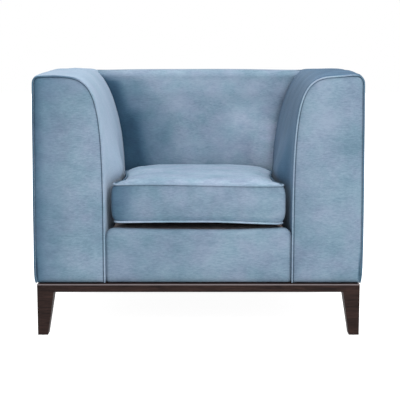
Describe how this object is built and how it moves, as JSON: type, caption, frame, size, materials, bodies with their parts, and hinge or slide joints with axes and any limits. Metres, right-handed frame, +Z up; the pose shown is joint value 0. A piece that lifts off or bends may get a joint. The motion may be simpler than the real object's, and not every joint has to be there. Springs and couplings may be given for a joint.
{
  "type": "upholstered armchair",
  "caption": "Square club armchair in velvet: arms as high as the back, loose box seat cushion with piping, dark timber plinth and tapered legs.",
  "frame": {"origin": "on the floor, under the middle of the chair's overall box", "axes": "+Z up, -Y towards the sitter's feet (the chair faces -Y), +X to the right of someone looking at its front"},
  "size_m": [0.968, 0.85, 0.772],
  "materials": {
    "velvet": "woven cut-pile velvet, steel blue, soft sheen",
    "velvet_piping": "the same velvet wrapped round a cord",
    "stained_wood": "dark espresso stain under satin lacquer",
    "frame_wood": "planed hardwood and plywood, unfinished",
    "steel": "plain spring steel and zinc-plated bolts",
    "webbing": "woven elastic webbing and zip tape, black",
    "dust_cloth": "thin non-woven cloth, black",
    "deck_cloth": "lining cloth over felt, grey-brown",
    "foam": "polyurethane foam",
    "glide_plastic": "moulded plastic, black",
    "zip_metal": "nickel-plated slider"
  },
  "bodies": {
    "frame": {"arm_facing_board_left": "frame_wood", "arm_facing_board_right": "frame_wood", "arm_front_left": "velvet", "arm_front_right": "velvet", "arm_outside_left": "velvet", "arm_outside_right": "velvet", "arm_pad_left": "velvet", "arm_pad_right": "velvet", "arm_piping_left": "velvet_piping", "arm_piping_right": "velvet_piping", "arm_post_front_left": "frame_wood", "arm_post_front_right": "frame_wood", "arm_post_rear_left": "frame_wood", "arm_post_rear_right": "frame_wood", "arm_top_rail_left": "frame_wood", "arm_top_rail_right": "frame_wood", "back_lower_rail": "frame_wood", "back_pad": "velvet", "back_top_rail": "frame_wood", "back_web_1": "webbing", "back_web_2": "webbing", "back_web_3": "webbing", "dust_cover": "dust_cloth", "front_rail_cover": "velvet", "glide_front_left": "glide_plastic", "glide_front_right": "glide_plastic", "glide_rear_left": "glide_plastic", "glide_rear_right": "glide_plastic", "leg_block_front_left": "frame_wood", "leg_block_front_right": "frame_wood", "leg_block_rear_left": "frame_wood", "leg_block_rear_right": "frame_wood", "leg_bolt_front_left": "steel", "leg_bolt_front_right": "steel", "leg_bolt_rear_left": "steel", "leg_bolt_rear_right": "steel", "leg_front_left": "stained_wood", "leg_front_right": "stained_wood", "leg_rear_left": "stained_wood", "leg_rear_right": "stained_wood", "outside_back": "velvet", "plinth_front": "stained_wood", "plinth_left": "stained_wood", "plinth_rear": "stained_wood", "plinth_right": "stained_wood", "seat_deck": "deck_cloth", "seat_rail_front": "frame_wood", "seat_rail_left": "frame_wood", "seat_rail_rear": "frame_wood", "seat_rail_right": "frame_wood", "seat_spring_1": "steel", "seat_spring_2": "steel", "seat_spring_3": "steel", "seat_spring_4": "steel"},
    "seat_cushion": {"cushion_cover": "velvet", "cushion_core": "foam", "cushion_piping_top": "velvet_piping", "cushion_piping_bottom": "velvet_piping", "zip_tape": "webbing"},
    "zip_slider": {"zip_slider": "zip_metal"}
  },
  "joints": [
    {"name": "cushion_lift", "type": "slide", "parent": "frame", "child": "seat_cushion", "axis": [0, 0, 1], "range_m": [0, 0.45]},
    {"name": "zip_slide", "type": "slide", "parent": "seat_cushion", "child": "zip_slider", "axis": [1, 0, 0], "range_m": [0, 0.42]}
  ]
}
